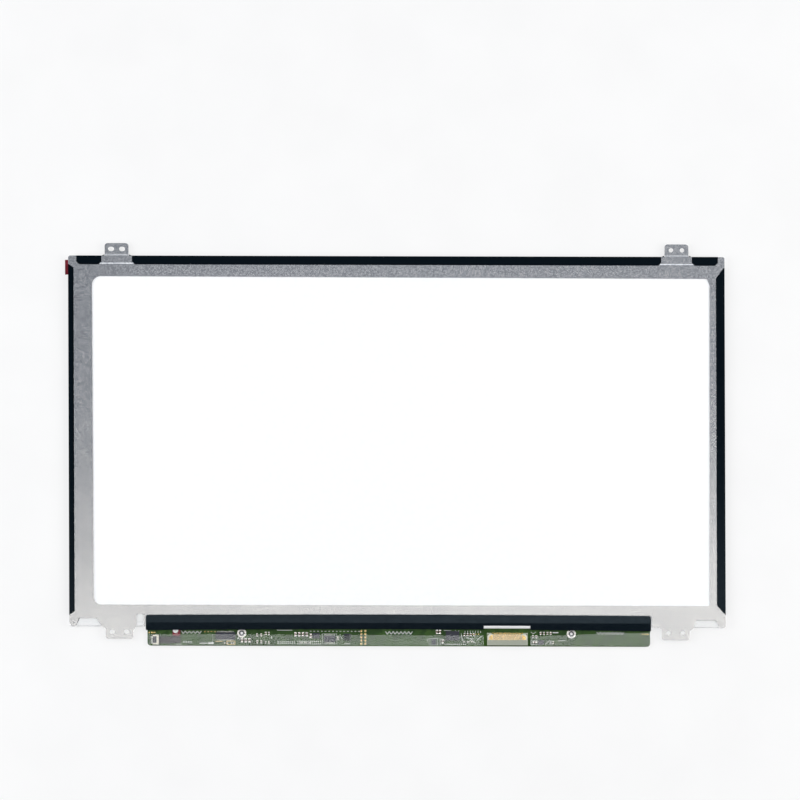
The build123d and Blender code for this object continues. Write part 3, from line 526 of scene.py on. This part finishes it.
def join_shaders(tree, first, second):
    """Mixes two shaders into the surface and returns the mixing node."""
    mix = tree.nodes.new("ShaderNodeMixShader")
    tree.links.new(first.outputs[0], mix.inputs[1])
    tree.links.new(second.outputs[0], mix.inputs[2])
    tree.links.new(mix.outputs["Shader"], tree.nodes["Material Output"].inputs["Surface"])
    return mix


def floor():
    """A wide pale floor, partly glowing where it is seen directly."""
    mesh = bmesh.new()
    edges = box(-FLOOR_HALF, FLOOR_HALF, -FLOOR_HALF, FLOOR_HALF)
    mesh.faces.new([mesh.verts.new((x, y, 0)) for x, y in edges])
    data = bpy.data.meshes.new("floor")
    mesh.to_mesh(data)
    mesh.free()
    ground = bpy.data.objects.new("floor", data)
    scene.collection.objects.link(ground)
    material, tree, shader = start_finish("floor", Roughness=0.9, Specular_IOR_Level=0.1)
    cloth = ramp(tree, noise(tree, 40, 2.0), (0.3, (0.93, 0.93, 0.93)), (0.7, (0.95, 0.95, 0.95)))
    tree.links.new(cloth, shader.inputs["Base Color"])
    glow = tree.nodes.new("ShaderNodeEmission")
    tree.links.new(cloth, glow.inputs["Color"])
    tree.links.new(seen_directly(tree, FLOOR_GLOW), join_shaders(tree, shader, glow).inputs[0])
    data.materials.append(material)


def lamp(name, place, target, size, radiance, colour, roll=0):
    """A flat soft lamp of this radiance that faces a target, rolled by some degrees."""
    data = bpy.data.lights.new(name, "AREA")
    data.shape = "RECTANGLE"
    data.size, data.size_y = size
    data.energy = radiance * math.pi * size[0] * size[1]
    data.color = colour
    obj = bpy.data.objects.new(name, data)
    direction = Vector(target) - Vector(place)
    facing = direction.to_track_quat("-Z", "Y").to_matrix().to_4x4()
    rolled = Matrix.Rotation(math.radians(roll), 4, "Z")
    obj.matrix_world = Matrix.Translation(place) @ facing @ rolled
    obj.visible_camera = False
    scene.collection.objects.link(obj)


floor()
lamp("overhead_strip", (0, 0.032, 0.8), (0, 0.032, 0), (2.0, 0.06), 3.3, (1.0, 0.955, 0.90), 5)
lamp("ceiling_lamp", (0.30, 0.38, 0.8), (0.30, 0.38, 0), (0.9, 0.32), 0.24, (0.97, 0.98, 1.0), 6)
lamp("back_lamp", (0, 1.0, 0.92), (0, 0.1, 0), (1.8, 0.5), 1.4, (0.96, 0.98, 1.0))
lamp("left_lamp", (-1.1, -0.1, 0.75), (0, 0, 0), (0.9, 0.9), 4.6, (0.97, 0.98, 1.0))
lamp("right_lamp", (1.1, -0.1, 0.75), (0, 0, 0), (0.9, 0.9), 4.6, (1.0, 0.99, 0.97))


def surroundings():
    """Pale walls near the horizon under a dim ceiling."""
    world = bpy.data.worlds.new("world")
    world.use_nodes = True
    tree = world.node_tree
    direction = tree.nodes.new("ShaderNodeTexCoord")
    parts = tree.nodes.new("ShaderNodeSeparateXYZ")
    tree.links.new(direction.outputs["Generated"], parts.inputs["Vector"])
    walls = ramp(
        tree, parts.outputs["Z"],
        (0.0, (0.92, 0.94, 0.97)), (0.30, (0.55, 0.57, 0.60)), (0.62, (0.08, 0.095, 0.12)),
    )
    tree.links.new(walls, tree.nodes["Background"].inputs["Color"])
    scene.world = world


surroundings()
